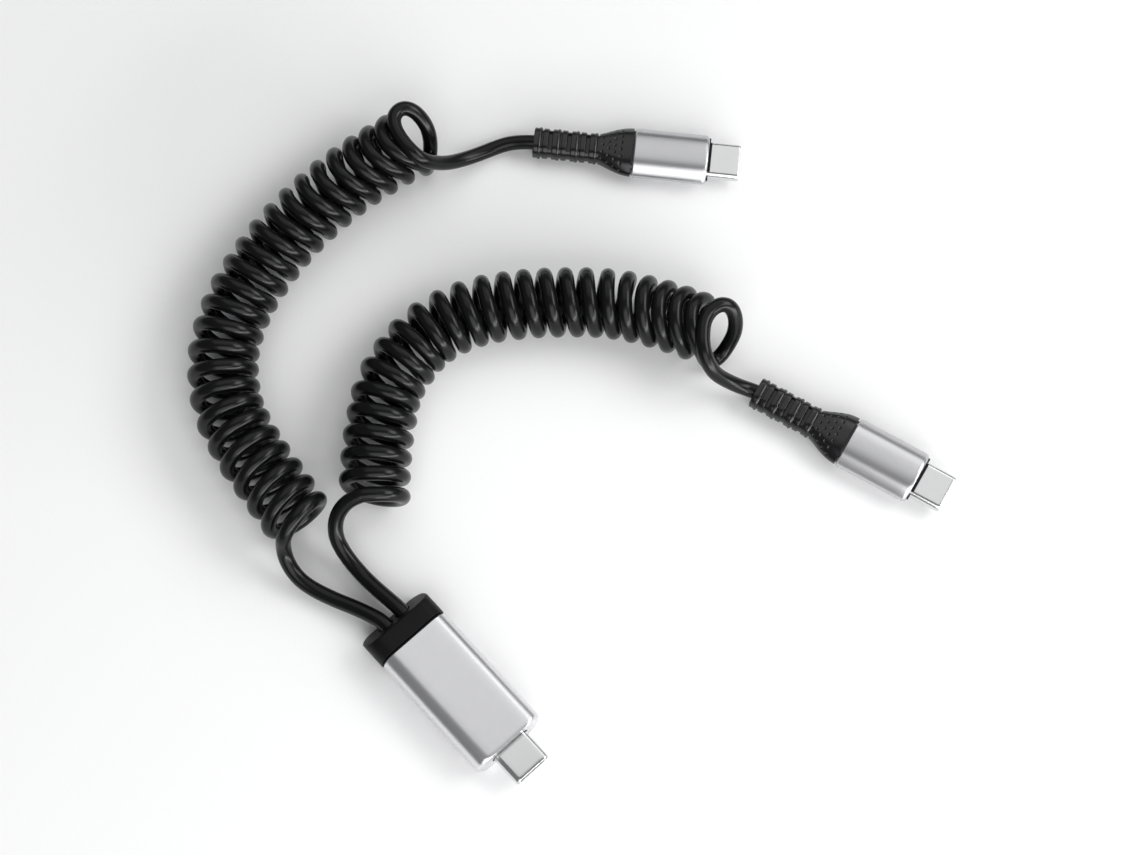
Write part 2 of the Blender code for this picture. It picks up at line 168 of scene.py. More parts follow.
table_size = 8.0
table_drop = 0.02 * mm
table_mesh = bpy.data.meshes.new("paper")
table_form = bmesh.new()
bmesh.ops.create_grid(table_form, x_segments=24, y_segments=24, size=table_size / 2)
table_form.to_mesh(table_mesh)
table_form.free()
table_mesh.transform(Matrix.Translation((look_at.x, look_at.y, -table_drop)))
paper = Finish("matt_white_paper", {"Roughness": 0.9})
paper_fibre = paper.grain(0.9 * mm, 3.0)
paper.set("Base Color", paper.tint(paper_fibre, (0.925, 0.925, 0.93), (0.945, 0.945, 0.945)))
paper.raise_by(paper_fibre, 0.01 * mm)
table_mesh.materials.append(paper.material)
table = bpy.data.objects.new("table", table_mesh)
bpy.context.scene.collection.objects.link(table)


def hang_lamp(name, turn, height, distance, width, length, watts):
    """A soft rectangular lamp that faces the cable, given in degrees, metres and watts.

    Turn 0 is towards the right of the view, and 90 is behind the cable.
    """
    lamp = bpy.data.lights.new(name, "AREA")
    lamp.shape = "RECTANGLE"
    lamp.size = width
    lamp.size_y = length
    lamp.energy = watts
    hung = bpy.data.objects.new(name, lamp)
    around = view_turn + math.radians(turn)
    up = math.radians(height)
    towards = Vector((
        math.cos(around) * math.cos(up), math.sin(around) * math.cos(up), math.sin(up)))
    hung.location = look_at + towards * distance
    hung.rotation_euler = towards.to_track_quat("Z", "Y").to_euler()
    bpy.context.scene.collection.objects.link(hung)


hang_lamp("overhead_card", 90, 60, 1.1, 1.1, 1.2, 3.2)
hang_lamp("front_lamp", -80, 36, 0.9, 0.9, 0.75, 5.0)
hang_lamp("low_strip", -50, 13, 0.9, 1.2, 0.16, 7.0)
hang_lamp("right_lamp", 8, 40, 0.9, 0.6, 0.35, 3.4)
hang_lamp("side_card", 50, 36, 0.9, 0.45, 0.4, 0.6)
room = bpy.data.worlds.new("room")
room.use_nodes = True
room.node_tree.nodes["Background"].inputs["Color"].default_value = (0.97, 0.98, 1.0, 1.0)
room.node_tree.nodes["Background"].inputs["Strength"].default_value = 0.19
bpy.context.scene.world = room
bpy.context.scene.view_settings.view_transform = "Standard"


# Aluminium sleeves, one on each of the three plugs.
# Each is drawn aluminium tube of flattened section, turned in at the front and blasted
# before the silver anodising, with a bright chamfer cut at its rear. It is pressed on.
def lying(x, y, height, heading):
    """Where a plug lies: from its own frame, with x along it, to the table's."""
    return Matrix.Translation((x * mm, y * mm, height * mm / 2)) @ Matrix.Rotation(heading, 4, "Z")


def far_plug(x, y, turn):
    """A small plug whose relief begins at x, y in mm, and which points this many degrees from +X."""
    heading = math.radians(turn)
    return {
        # These sleeves get a darker silver than the splitter's: painted shade, a darker copy of the
        # same anodised metal so that they look less lit.
        "start": (x, y), "place": lying(x, y, 6.0, heading), "heading": heading,
        "rear": 21.26 * mm, "front": 37.06 * mm,
        "width": 11.4 * mm, "height": 6.0 * mm, "corner": 2.9 * mm, "bulge": 0.5,
        "nose": (8.75 * mm, 3.1 * mm), "front_drop": 0.3 * mm, "satin": 0.27, "silver": 0.56}


plugs = {
    "splitter": {
        "place": lying(-21.185, 0.0, 7.5, 0.0), "heading": 0.0, "rear": 7.3 * mm, "front": 35.5 * mm,
        "width": 16.0 * mm, "height": 7.5 * mm, "corner": 3.3 * mm, "bulge": 0.0,
        "nose": (8.75 * mm, 2.9 * mm), "front_drop": 0.12 * mm, "satin": 0.26, "silver": 0.74},
    "plug_a": far_plug(-79.0, 90.4, 41.1),
    "plug_b": far_plug(-6.4, 85.9, 17.3),
}


def outline(width, height, corner, bulge=0.0, arc=9, flat=8):
    """Points (y, z) round a rectangle with round corners, whose broad faces may bulge."""
    corner = min(corner, width / 2, height / 2)
    points = []
    for quarter, (side_y, side_z) in enumerate(((1, 1), (-1, 1), (-1, -1), (1, -1))):
        middle_y = side_y * (width / 2 - corner)
        middle_z = side_z * (height / 2 - corner)
        for step in range(arc + 1):
            angle = (quarter + step / arc) * math.pi / 2
            points.append((middle_y + corner * math.cos(angle), middle_z + corner * math.sin(angle)))
        run = (height if quarter % 2 else width) - 2 * corner
        way_y, way_z = ((-side_y, 0), (0, -side_z))[quarter % 2]
        for _ in range(flat - 1):
            points.append((points[-1][0] + way_y * run / flat, points[-1][1] + way_z * run / flat))
    return [(y, z * (1 - bulge * (2 * y / width) ** 2)) for y, z in points]


def at(x, points):
    """An outline stood across the plug at x."""
    return [(x, y, z) for y, z in points]


def rounded(start, end, radius, steps=4):
    """Stations (x, inset) from start to end, where the edge at each end is rounded over."""
    turns = [step / steps * math.pi / 2 for step in range(steps + 1)]
    rear = [(start + radius * (1 - math.cos(t)), radius * (1 - math.sin(t))) for t in turns]
    front = [(end - radius * (1 - math.cos(t)), radius * (1 - math.sin(t))) for t in turns]
    return rear + front[::-1]


def skin(rows, ring=False):
    """Mesh over rows of as many points each: a bar with closed ends, or a closed ring of rows."""
    form = bmesh.new()
    laid = [[form.verts.new(point) for point in row] for row in rows]
    for row, following in zip(laid, laid[1:] + laid[:1] if ring else laid[1:]):
        for index in range(len(row)):
            form.faces.new((row[index - 1], row[index], following[index], following[index - 1]))
    if not ring:
        form.faces.new(laid[0])
        form.faces.new(laid[-1])
    bmesh.ops.remove_doubles(form, verts=form.verts, dist=0.0005 * mm)
    bmesh.ops.recalc_face_normals(form, faces=form.faces)
    mesh = bpy.data.meshes.new("skin")
    form.to_mesh(mesh)
    form.free()
    return mesh


def together(*meshes):
    """Several meshes as one."""
    form = bmesh.new()
    for mesh in meshes:
        form.from_mesh(mesh)
    joined = bpy.data.meshes.new("joined")
    form.to_mesh(joined)
    form.free()
    return joined


def finished(name, mesh, finish, place, slot, *nodes, angle=32):
    """A piece of the cable: its mesh put in place and shaded, standing for its CAD nodes."""
    mesh.transform(place)
    mesh.materials.clear()
    mesh.materials.append(finish.material)
    mesh.shade_smooth()
    mesh.set_sharp_from_angle(angle=math.radians(angle))
    piece = bpy.data.objects.new(name, mesh)
    bpy.context.scene.collection.objects.link(piece)
    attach(piece, "root")
    if nodes:
        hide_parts(*nodes)
    return piece


def anodised(name, heading, roughness, silver):
    """Silver anodised aluminium: an even blasted grain with faint draw lines along the tube."""
    finish = Finish(name, {"Metallic": 1.0})
    blast = finish.grain(0.055 * mm, 2.0)
    drawn = finish.grain(0.12 * mm, 3.0, finish.along(heading, 60.0))
    cloud = finish.grain(4.0 * mm, 2.0)
    # The silver sets the metal's own tone. The small plugs' lower silver is painted shade, not a
    # different metal.
    finish.set("Base Color", finish.tint(
        0.6 * drawn + 0.4 * cloud, (silver - 0.04, silver - 0.04, silver - 0.025),
        (silver + 0.04, silver + 0.04, silver + 0.05)))
    finish.set("Roughness", roughness + 0.06 * blast + 0.05 * drawn)
    finish.raise_by(0.75 * blast + 0.25 * drawn, 0.004 * mm)
    return finish


def tube_round(plug, x, inset_y=0.0, inset_z=0.0):
    """A sleeve's outline at x, drawn in by different amounts across and up."""
    return at(x, outline(plug["width"] - 2 * inset_y, plug["height"] - 2 * inset_z,
                         plug["corner"] - inset_z, plug["bulge"]))


sleeve_wall = 0.8 * mm
rear_chamfer = 0.3 * mm
edge_ease = 0.03 * mm
front_turn_in = 0.9 * mm
turn_steps = 8
nose_gap = 0.2 * mm
nose_depth = 1.0 * mm
for name, plug in plugs.items():
    rear, front = plug["rear"], plug["front"]
    nose_width, nose_height = plug["nose"]
    rows = [tube_round(plug, rear, rear_chamfer * 1.1, rear_chamfer * 1.1),
            tube_round(plug, rear + edge_ease, rear_chamfer, rear_chamfer),
            tube_round(plug, rear + rear_chamfer, edge_ease, edge_ease),
            tube_round(plug, rear + rear_chamfer * 1.15)]
    rows += [tube_round(plug, rear + (front - rear) * share) for share in (0.3, 0.6, 0.85)]
    for step in range(turn_steps + 1):
        turn = step / turn_steps * math.radians(80)
        rows.append(tube_round(plug, front - front_turn_in * (1 - math.sin(turn)),
                               front_turn_in * (1 - math.cos(turn)) * 1.1,
                               plug["front_drop"] * (1 - math.cos(turn))))
    opening = outline(nose_width + nose_gap, nose_height + nose_gap, nose_height / 2)
    pocket = outline(plug["width"] - 2 * sleeve_wall, plug["height"] - 2 * sleeve_wall,
                     plug["corner"] - sleeve_wall)
    rows += [at(front, opening), at(front - nose_depth, opening),
             at(front - nose_depth, pocket), at(rear, pocket)]
    finished(
        name + "_metal_sleeve", skin(rows, ring=True),
        anodised(name + "_anodised", plug["heading"], plug["satin"], plug["silver"]),
        plug["place"], "aluminium", name + "_sleeve", angle=28)


# Inner moulds, one inside each sleeve.
# Black nylon, moulded round the soldered plug and pushed into the sleeve from behind. It closes
# the sleeve's front round the steel shell. The small plugs' have a lip above and below the
# shell and a pip at each side of it.
def moulded(name, darkest, lightest, roughness, shine):
    """Black moulded plastic with a fine spark-eroded grain."""
    finish = Finish(name, {"Specular IOR Level": shine})
    fine = finish.grain(0.09 * mm, 3.0)
    broad = finish.grain(2.5 * mm, 2.0)
    finish.set("Base Color", finish.tint(broad, darkest, lightest))
    finish.set("Roughness", roughness - 0.05 + 0.1 * fine + 0.06 * broad)
    finish.raise_by(fine, 0.008 * mm)
    return finish


black_nylon = moulded("black_nylon", (0.003, 0.003, 0.0034), (0.0055, 0.0055, 0.006), 0.42, 0.16)
shell_width = 8.25 * mm
shell_height = 2.4 * mm
mould_depth = 1.3 * mm
mould_recess = 0.02 * mm
lip_width = 6.8 * mm
lip_length = 0.6 * mm
lip_thickness = 0.45 * mm
pip_width = 0.8 * mm
pip_height = 1.2 * mm
pip_length = 0.26 * mm
pip_offset = 4.5 * mm
pip_rise = 0.25 * mm
for name, plug in plugs.items():
    front = plug["front"]
    nose_width, nose_height = plug["nose"]
    seat = outline(shell_width + 0.1 * mm, shell_height + 0.1 * mm, shell_height / 2 + 0.05 * mm)
    rows = [at(front - mould_depth, seat)]
    for x, inset in rounded(front - mould_depth, front - mould_recess, 0.12 * mm):
        rows.append(at(x, outline(nose_width - 2 * inset, nose_height - 2 * inset,
                                  nose_height / 2 - inset)))
    rows.append(at(front - mould_recess, seat))
    parts = [skin(rows, ring=True)]
    if name != "splitter":
        for side in (1, -1):
            lip = skin([at(x, outline(lip_width - 2 * inset, lip_thickness - 2 * inset,
                                      0.12 * mm - inset / 2))
                        for x, inset in rounded(front - 0.4 * mm, front + lip_length, 0.08 * mm)])
            lip.transform(Matrix.Translation((0, 0, side * (shell_height + lip_thickness) / 2)))
            pip = skin([at(x, outline(pip_width - 2 * inset, pip_height - 2 * inset, 0.35 * mm))
                        for x, inset in rounded(front - 0.6 * mm, front + pip_length, 0.1 * mm)])
            pip.transform(Matrix.Translation((0, side * pip_offset, pip_rise)))
            parts += [lip, pip]
    finished(name + "_nylon_mould", together(*parts), black_nylon, plug["place"],
                            "black_plastic", name + "_inner_mould")


# Steel shells of the three plugs.
# Each is deep-drawn from thin stainless strip into a seamless flat tube and nickel plated,
# with its mouth drawn in a little so that it finds the socket. It is gripped by the mould.
def plated(name, heading):
    """Bright nickel on drawn steel, with hair-fine marks along the tube."""
    finish = Finish(name, {"Metallic": 1.0})
    drawn = finish.grain(0.05 * mm, 3.0, finish.along(heading, 90.0))
    worn = finish.grain(1.2 * mm, 3.0)
    finish.set("Base Color", finish.tint(
        0.5 * drawn + 0.5 * worn, (0.66, 0.665, 0.67), (0.76, 0.76, 0.755)))
    finish.set("Roughness", 0.15 + 0.08 * drawn + 0.05 * worn)
    finish.raise_by(drawn, 0.0015 * mm)
    return finish


shell_wall = 0.3 * mm
shell_reach = 6.65 * mm
shell_grip = 1.6 * mm
drawn_in = ((0.9, 0.0), (0.5, 0.02), (0.2, 0.06), (0.1, 0.09), (0.03, 0.14), (0.0, 0.20),
            (0.02, 0.26), (0.1, 0.31), (0.25, 0.32))
for name, plug in plugs.items():
    front = plug["front"]
    tip = front + shell_reach
    profile = [(front - shell_grip, 0.0), (front, 0.0)]
    profile += [(tip - back * mm, inset * mm) for back, inset in drawn_in]
    profile.append((front - shell_grip, 0.32 * mm))
    rows = [at(x, outline(shell_width - 2 * inset, shell_height - 2 * inset,
                          shell_height / 2 - inset, arc=14)) for x, inset in profile]
    finished(
        name + "_steel_shell", skin(rows, ring=True), plated(name + "_nickel", plug["heading"]),
        plug["place"], "steel", name + "_usb_shell")


# Liners and contacts inside the shells.
# A black liner fills each shell and leaves the flat mouth for the socket's tongue. Twelve
# gold-plated springs lie along its upper wall and twelve along its lower, at 0.5 mm pitch.
class Jig(Recipe):
    """A Geometry Nodes tree with named sizes, which makes a plain mesh from a base mesh."""

    def __init__(self, name, sizes):
        super().__init__(bpy.data.node_groups.new(name, "GeometryNodeTree"))
        slots = self.tree.interface
        slots.new_socket("Base", in_out="INPUT", socket_type="NodeSocketGeometry")
        slots.new_socket("Piece", in_out="OUTPUT", socket_type="NodeSocketGeometry")
        self.sizes = sizes
        self.keys = {}
        for size, value in sizes.items():
            kind = "NodeSocketInt" if isinstance(value, int) else "NodeSocketFloat"
            self.keys[size] = slots.new_socket(size, in_out="INPUT", socket_type=kind).identifier
        self.given = self.tree.nodes.new("NodeGroupInput")
        self.base = self.size("Base")

    def size(self, name):
        return Reading(self.tree, self.given.outputs[name])

    def close(self, geometry, finish):
        """End the tree: instances made real, and the material put on."""
        real = self.add("GeometryNodeRealizeInstances", {}, {"Geometry": geometry})
        dressed = self.add("GeometryNodeSetMaterial", {}, {
            "Geometry": real, "Material": finish.material})
        join(self.tree.nodes.new("NodeGroupOutput").inputs[0], dressed)

    def make(self, base):
        """The plain mesh that the tree makes from a base mesh."""
        worked = bpy.data.objects.new("worked", base)
        bpy.context.scene.collection.objects.link(worked)
        step = worked.modifiers.new("jig", "NODES")
        step.node_group = self.tree
        for size, value in self.sizes.items():
            step[self.keys[size]] = value
        depsgraph = bpy.context.evaluated_depsgraph_get()
        mesh = bpy.data.meshes.new_from_object(
            worked.evaluated_get(depsgraph), preserve_all_data_layers=True, depsgraph=depsgraph)
        bpy.data.objects.remove(worked, do_unlink=True)
        return mesh


black_liner = moulded("black_liner", (0.005, 0.005, 0.005), (0.008, 0.008, 0.008), 0.4, 0.3)
gold = Finish("gold_plate", {"Metallic": 1.0})
gold_wear = gold.grain(0.3 * mm, 2.0)
gold.set("Base Color", gold.tint(gold_wear, (0.83, 0.60, 0.27), (0.90, 0.70, 0.36)))
gold.set("Roughness", 0.2 + 0.12 * gold_wear)
mouth_width = 6.85 * mm
mouth_height = 1.1 * mm
mouth_depth = 5.2 * mm
liner_recess = 0.35 * mm
liner_gap = 0.1 * mm
spring_bend = ((-4.9, 0.53), (-2.6, 0.52), (-1.9, 0.47), (-1.45, 0.38), (-1.2, 0.345),
               (-0.95, 0.36), (-0.7, 0.42), (-0.5, 0.5))

contact_row = Jig("contact_row", {
    "Count": 12, "Pitch": 0.5 * mm, "Strip width": 0.24 * mm, "Strip thickness": 0.08 * mm})
strip = contact_row.add("GeometryNodeMeshToCurve", {}, {"Mesh": contact_row.base})
section = contact_row.add("GeometryNodeCurvePrimitiveQuadrilateral", {}, {
    "Width": contact_row.size("Strip thickness"), "Height": contact_row.size("Strip width")})
spring = contact_row.add("GeometryNodeCurveToMesh", {}, {
    "Curve": strip, "Profile Curve": section, "Fill Caps": True})
first_y = (contact_row.size("Count") - 1) * contact_row.size("Pitch") / -2
start = contact_row.add("ShaderNodeCombineXYZ", {}, {"Y": first_y})
step = contact_row.add("ShaderNodeCombineXYZ", {}, {"Y": contact_row.size("Pitch")})
stations = contact_row.add("GeometryNodeMeshLine", {}, {
    "Count": contact_row.size("Count"), "Start Location": start, "Offset": step})
upper = contact_row.add("GeometryNodeInstanceOnPoints", {}, {"Points": stations, "Instance": spring})
lower = contact_row.add("GeometryNodeTransform", {}, {
    "Geometry": upper, "Rotation": (math.pi, 0.0, 0.0)})
both = contact_row.add("GeometryNodeJoinGeometry", {}, {"Geometry": upper})
join(both.socket.node.inputs[0], lower)
contact_row.close(both, gold)


def wire(name, points):
    """A mesh that is only a line through the points."""
    mesh = bpy.data.meshes.new(name)
    mesh.from_pydata(points, [(index, index + 1) for index in range(len(points) - 1)], [])
    return mesh


for name, plug in plugs.items():
    front = plug["front"]
    tip = front + shell_reach - liner_recess
    body = outline(shell_width - 2 * shell_wall - liner_gap,
                   shell_height - 2 * shell_wall - liner_gap, shell_height / 2)
    mouth = outline(mouth_width, mouth_height, 0.25 * mm)
    rows = [at(tip - mouth_depth, mouth), at(tip - 0.1 * mm, mouth),
            at(tip, outline(mouth_width + 0.2 * mm, mouth_height + 0.12 * mm, 0.3 * mm)),
            at(tip, body), at(front - shell_grip, body)]
    finished(name + "_liner", skin(rows), black_liner, plug["place"],
                            "black_insulator", name + "_insulator")
    bend = wire("bend", [(tip + x * mm, 0.0, z * mm) for x, z in spring_bend])
    finished(name + "_contacts", contact_row.make(bend), gold, plug["place"], "steel")


# End cap of the splitter plug.
# Moulded black nylon, pushed into the rear of the sleeve. Its rear face leans back and has a
# round hole for each cord, side by side.
cap_length = 7.0 * mm
cap_start = -0.5 * mm
cap_lean = 3.7 * mm
cap_edge = 0.5 * mm
edge_steps = 6
spigot_length = 2.7 * mm
spigot_gap = 0.2 * mm
cord_spacing = 4.2 * mm
cord_diameter = 3.1 * mm
hole_diameter = 3.6 * mm
hole_depth = 1.9 * mm
drill_length = 10 * mm
splitter = plugs["splitter"]


def leaned(x, inset):
    """The cap's outline at x, leaning back by the rear face's slope."""
    points = outline(splitter["width"] - 2 * inset, splitter["height"] - 2 * inset,
                     splitter["corner"] - inset, arc=12)
    back = cap_lean * (cap_length - x) / (cap_length - cap_start)
    return [(x + back * (z / splitter["height"] + 0.5), y, z) for y, z in points]


cap_edges = rounded(cap_start, cap_length, cap_edge, edge_steps)
cap_rows = [leaned(x, inset) for x, inset in cap_edges[:edge_steps + 1]]
cap_rows += [leaned(x, 0.0) for x in (3.0 * mm, 5.0 * mm, cap_length - 0.1 * mm)]
cap_rows.append(leaned(cap_length, 0.08 * mm))
spigot = outline(splitter["width"] - 2 * sleeve_wall - spigot_gap,
                 splitter["height"] - 2 * sleeve_wall - spigot_gap,
                 splitter["corner"] - sleeve_wall, arc=12)
cap_rows += [at(cap_length, spigot), at(cap_length + spigot_length, spigot)]
cap_body = bpy.data.objects.new("cap_body", skin(cap_rows))
bpy.context.scene.collection.objects.link(cap_body)
drills = []
for side in (-1, 1):
    form = bmesh.new()
    bmesh.ops.create_cone(form, cap_ends=True, segments=64, radius1=hole_diameter / 2,
                          radius2=hole_diameter / 2, depth=drill_length)
    drill_mesh = bpy.data.meshes.new("drill")
    form.to_mesh(drill_mesh)
    form.free()
    end = cap_start + cap_lean / 2 + hole_depth
    drill_mesh.transform(Matrix.Translation((end - drill_length / 2, side * cord_spacing / 2, 0))
                         @ Matrix.Rotation(math.pi / 2, 4, "Y"))
    drill = bpy.data.objects.new("drill", drill_mesh)
    bpy.context.scene.collection.objects.link(drill)
    drills.append(drill)
    cut = cap_body.modifiers.new("cord_hole", "BOOLEAN")
    cut.solver = "EXACT"
    cut.object = drill
bpy.context.view_layer.update()
cap_drilled = cap_body.evaluated_get(bpy.context.evaluated_depsgraph_get())
cap_mesh = bpy.data.meshes.new_from_object(cap_drilled)
for spent in [cap_body] + drills:
    bpy.data.objects.remove(spent, do_unlink=True)
finished("splitter_rear_cap", cap_mesh, black_nylon, splitter["place"], "black_plastic",
         "splitter_end_cap")


# Strain reliefs of the two small plugs.
# One soft black moulding over the end of the cord: seven rings on a slim core that is cut
# through from above and below, so that it bends, then a boot that flares to the sleeve.
black_rubber = moulded("black_soft_mould", (0.0025, 0.0025, 0.003), (0.005, 0.005, 0.0055), 0.2, 0.5)
ring_count = 7
ring_pitch = 1.98 * mm
ring_length = 1.15 * mm
ring_width = 6.4 * mm
ring_height = 4.8 * mm
ring_corner = 1.9 * mm
ring_bulge = 0.15
cut_width = 4.3 * mm
web_thickness = 1.9 * mm
boot_start = ring_count * ring_pitch
boot_length = 7.1 * mm
boot_width = 11.1 * mm
boot_height = 5.7 * mm
boot_corner = 2.6 * mm
flare_steps = 84

ring_bore = outline(ring_width - 2.4 * mm, ring_height - 2.4 * mm, 0.4 * mm)
ring_rows = [at(0.0, ring_bore)]
for x, inset in rounded(0.0, ring_length, 0.16 * mm):
    ring_rows.append(at(x, outline(ring_width - 2 * inset, ring_height - 2 * inset, ring_corner - inset,
                                   ring_bulge)))
ring_rows.append(at(ring_length, ring_bore))
one_ring = bpy.data.objects.new("one_ring", skin(ring_rows, ring=True))
bead_profile = ((-0.12, -0.3), (-0.1, 0.1), (-0.04, 0.17), (0.04, 0.19), (0.14, 0.17),
                (0.28, 0.1), (0.42, 0.02), (0.48, -0.06), (0.5, -0.3))
bead_rows = []
for x, rise in bead_profile:
    bead_rows.append(at(ring_length + x * mm, outline(
        ring_width + 2 * rise * mm, ring_height + 2 * rise * mm, ring_corner + rise * mm, ring_bulge)))
one_bead = bpy.data.objects.new("one_bead", skin(bead_rows, ring=True))

relief_jig = Jig("strain_relief", {
    "Rings": ring_count, "Ring pitch": ring_pitch, "Beads": 4, "Dimple pitch along": 1.34 * mm,
    "Dimple pitch around": 1.58 * mm, "Dimple radius": 0.34 * mm, "Dimple depth": 0.2 * mm,
    "First dimple": boot_start + 0.75 * mm, "Last dimple": boot_start + boot_length - 1.15 * mm})


def named(jig, name):
    """A number stored on the base mesh."""
    return jig.add("GeometryNodeInputNamedAttribute", {"data_type": "FLOAT"}, {"Name": name})


def repeated(jig, thing, count, pitch):
    """Copies of an object in a row along x."""
    shape = jig.add("GeometryNodeObjectInfo", {}, {"Object": thing}, out=4)
    offset = jig.add("ShaderNodeCombineXYZ", {}, {"X": pitch})
    row = jig.add("GeometryNodeMeshLine", {}, {"Count": count, "Offset": offset})
    return jig.add("GeometryNodeInstanceOnPoints", {}, {"Points": row, "Instance": shape})


pitch_along = relief_jig.size("Dimple pitch along")
pitch_around = relief_jig.size("Dimple pitch around")
station = (named(relief_jig, "along") - relief_jig.size("First dimple")) / pitch_along
column = station.work("ROUND", station)
stagger = 0.5 * column.work("PINGPONG", column, 1.0)
place_around = named(relief_jig, "around") / pitch_around - stagger
row_number = place_around.work("ROUND", place_around)
off_along = (station - column) * pitch_along
off_around = (place_around - row_number) * pitch_around
reach = off_along.work("SQRT", off_along * off_along + off_around * off_around)
centre_around = (row_number + stagger) * pitch_around
room_left = named(relief_jig, "half_round") - centre_around.work("ABSOLUTE", centre_around)
allowed = (relief_jig.between(room_left, 0.45 * mm, 0.46 * mm)
           * relief_jig.between(column, -0.6, -0.4)
           * relief_jig.between(column * pitch_along + relief_jig.size("First dimple"),
                                relief_jig.size("Last dimple"),
                                relief_jig.size("Last dimple") + 0.01 * mm, 1.0, 0.0))
hollow = relief_jig.between(reach / relief_jig.size("Dimple radius"), 0.35, 1.0, 1.0, 0.0)
sink = relief_jig.add("ShaderNodeVectorMath", {"operation": "SCALE"}, {
    "Vector": relief_jig.add("GeometryNodeInputNormal", {}, {}),
    "Scale": hollow * allowed * relief_jig.size("Dimple depth") * -1})
dimpled = relief_jig.add("GeometryNodeSetPosition", {}, {"Geometry": relief_jig.base, "Offset": sink})
rings = repeated(relief_jig, one_ring, relief_jig.size("Rings"), relief_jig.size("Ring pitch"))
beads = repeated(relief_jig, one_bead, relief_jig.size("Beads"), relief_jig.size("Ring pitch") * 2)
moulding = relief_jig.add("GeometryNodeJoinGeometry", {}, {"Geometry": dimpled})
join(moulding.socket.node.inputs[0], rings)
join(moulding.socket.node.inputs[0], beads)
relief_jig.close(moulding, black_rubber)


def relief_base():
    """The relief's core and boot, with how far along and round it each point lies."""
    fine = {"arc": 24, "flat": 28}
    core = outline(ring_width - 0.5 * mm, ring_height - 0.8 * mm, ring_corner - 0.2 * mm,
                   ring_bulge, **fine)
    cut = [(y, math.copysign(min(abs(z), web_thickness / 2), z)) if abs(y) < cut_width / 2
           else (y, z) for y, z in core]
    socket = [(hole_diameter / 2 * math.cos(t), hole_diameter / 2 * math.sin(t))
              for t in (index / len(core) * 2 * math.pi for index in range(len(core)))]
    rows = [at(1.0 * mm, socket), at(0.06 * mm, socket), at(0.04 * mm, core)]
    for index in range(ring_count):
        slot_start = index * ring_pitch + ring_length - 0.05 * mm
        slot_end = (index + 1) * ring_pitch + 0.05 * mm
        shape = cut if index % 2 else core
        rows += [at(slot_start, core), at(slot_start + 0.02 * mm, shape),
                 at(slot_end - 0.02 * mm, shape), at(slot_end, core)]
    for step in range(flare_steps + 1):
        share = step / flare_steps
        swell = (share ** 0.7) ** 2 * (3 - 2 * share ** 0.7)
        width = ring_width + (boot_width - ring_width) * swell
        height = ring_height + (boot_height - ring_height) * swell
        corner = ring_corner + (boot_corner - ring_corner) * swell
        rows.append(at(boot_start + boot_length * share,
                       outline(width, height, corner, bulge=ring_bulge + 0.35 * swell, **fine)))
    spigot = outline(9.6 * mm, 4.2 * mm, 1.7 * mm, **fine)
    rows += [at(boot_start + boot_length, spigot),
             at(boot_start + boot_length + spigot_length, spigot)]
    mesh = skin(rows)
    places = np.array([vertex.co for vertex in mesh.vertices])
    along = mesh.attributes.new("along", "FLOAT", "POINT")
    along.data.foreach_set("value", places[:, 0].astype(np.float32))
    around = np.zeros(len(places), np.float32)
    half_round = np.zeros(len(places), np.float32)
    for x in np.unique(places[:, 0]):
        here = np.flatnonzero(places[:, 0] == x)
        for side in (1, -1):
            face = here[(places[here, 2] * side) >= 0]
            face = face[np.argsort(np.arctan2(places[face, 2] * side, -places[face, 1]))]
            steps = np.linalg.norm(np.diff(places[face], axis=0), axis=1)
            run = np.concatenate(([0.0], np.cumsum(steps)))
            around[face] = run - run[-1] / 2
            half_round[face] = run[-1] / 2
    mesh.attributes.new("around", "FLOAT", "POINT").data.foreach_set("value", around)
    mesh.attributes.new("half_round", "FLOAT", "POINT").data.foreach_set("value", half_round)
    return mesh


for name in ("plug_a", "plug_b"):
    finished(name + "_soft_relief", relief_jig.make(relief_base()), black_rubber,
                             plugs[name]["place"], "black_plastic", name + "_strain_relief")
for spent in (one_ring, one_bead):
    bpy.data.objects.remove(spent, do_unlink=True)


